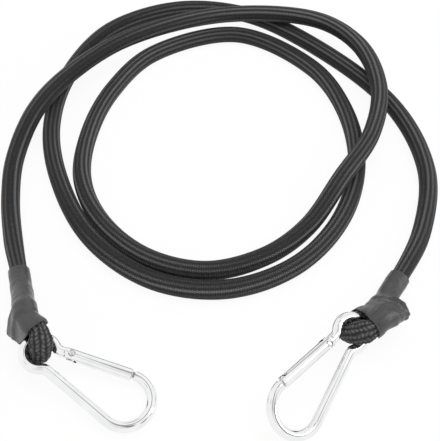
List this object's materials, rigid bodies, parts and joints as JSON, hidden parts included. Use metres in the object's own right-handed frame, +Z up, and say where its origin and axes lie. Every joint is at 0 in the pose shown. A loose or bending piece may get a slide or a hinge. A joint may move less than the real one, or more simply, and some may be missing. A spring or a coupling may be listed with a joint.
{
  "type": "bungee cord",
  "caption": "Round elastic cord laid in loose loops, both ends folded through the eye of a pear-shaped snap hook with a sprung gate and bound under a shrink sleeve.",
  "frame": {"origin": "on the floor under the middle of the lying part's box", "axes": "+Z up from the floor, +Y away from the hooks across the loops, +X to the right seen from the hooks"},
  "size_m": [0.242, 0.3022, 0.0252],
  "materials": {
    "braided_sheath": "braided",
    "elastic_core": "matte",
    "heat_shrink": "matte",
    "crimp_steel": "satin",
    "polished_steel": "polished",
    "rivet_steel": "satin",
    "spring_steel": "drawn"
  },
  "bodies": {
    "cord": {"cord_jacket": "braided_sheath", "rubber_core": "elastic_core", "left_shrink_sleeve": "heat_shrink", "left_crimp_band": "crimp_steel", "right_shrink_sleeve": "heat_shrink", "right_crimp_band": "crimp_steel"},
    "left_hook": {"left_hook_frame": "polished_steel", "left_hinge_rivet": "rivet_steel"},
    "left_gate": {"left_gate": "polished_steel", "left_gate_spring": "spring_steel"},
    "left_plunger": {"left_spring_plunger": "spring_steel"},
    "right_hook": {"right_hook_frame": "polished_steel", "right_hinge_rivet": "rivet_steel"},
    "right_gate": {"right_gate": "polished_steel", "right_gate_spring": "spring_steel"},
    "right_plunger": {"right_spring_plunger": "spring_steel"}
  },
  "joints": [
    {"name": "left_hook_swing", "type": "hinge", "parent": "cord", "child": "left_hook", "pos_m": [-0.08313, -0.11184, 0.0114], "axis": [0.1368, -0.0691, 0.9882], "range_deg": [-60, 35]},
    {"name": "left_gate_turn", "type": "hinge", "parent": "left_hook", "child": "left_gate", "pos_m": [-0.0689, -0.11178, 0.00943], "axis": [-0.1368, 0.0691, -0.9882], "range_deg": [0, 22], "stiffness_Nm_per_rad": 0.04, "springref_deg": -8.59},
    {"name": "left_plunger_slide", "type": "slide", "parent": "left_gate", "child": "left_plunger", "axis": [0.9499, -0.2737, -0.1507], "range_m": [0, 0.00035]},
    {"name": "right_hook_swing", "type": "hinge", "parent": "cord", "child": "right_hook", "pos_m": [0.06157, -0.10164, 0.0114], "axis": [0.406, -0.3651, 0.8378], "range_deg": [-60, 0]},
    {"name": "right_gate_turn", "type": "hinge", "parent": "right_hook", "child": "right_gate", "pos_m": [0.04931, -0.10855, 0.01433], "axis": [0.406, -0.3651, 0.8378], "range_deg": [0, 22], "stiffness_Nm_per_rad": 0.04, "springref_deg": -8.59},
    {"name": "right_plunger_slide", "type": "slide", "parent": "right_gate", "child": "right_plunger", "axis": [-0.7278, -0.6836, 0.0547], "range_m": [0, 0.00035]}
  ],
  "couplings": [
    {"joint": "left_plunger_slide", "follows": "left_gate_turn", "m_per_rad": 0.0009},
    {"joint": "right_plunger_slide", "follows": "right_gate_turn", "m_per_rad": 0.0009}
  ]
}
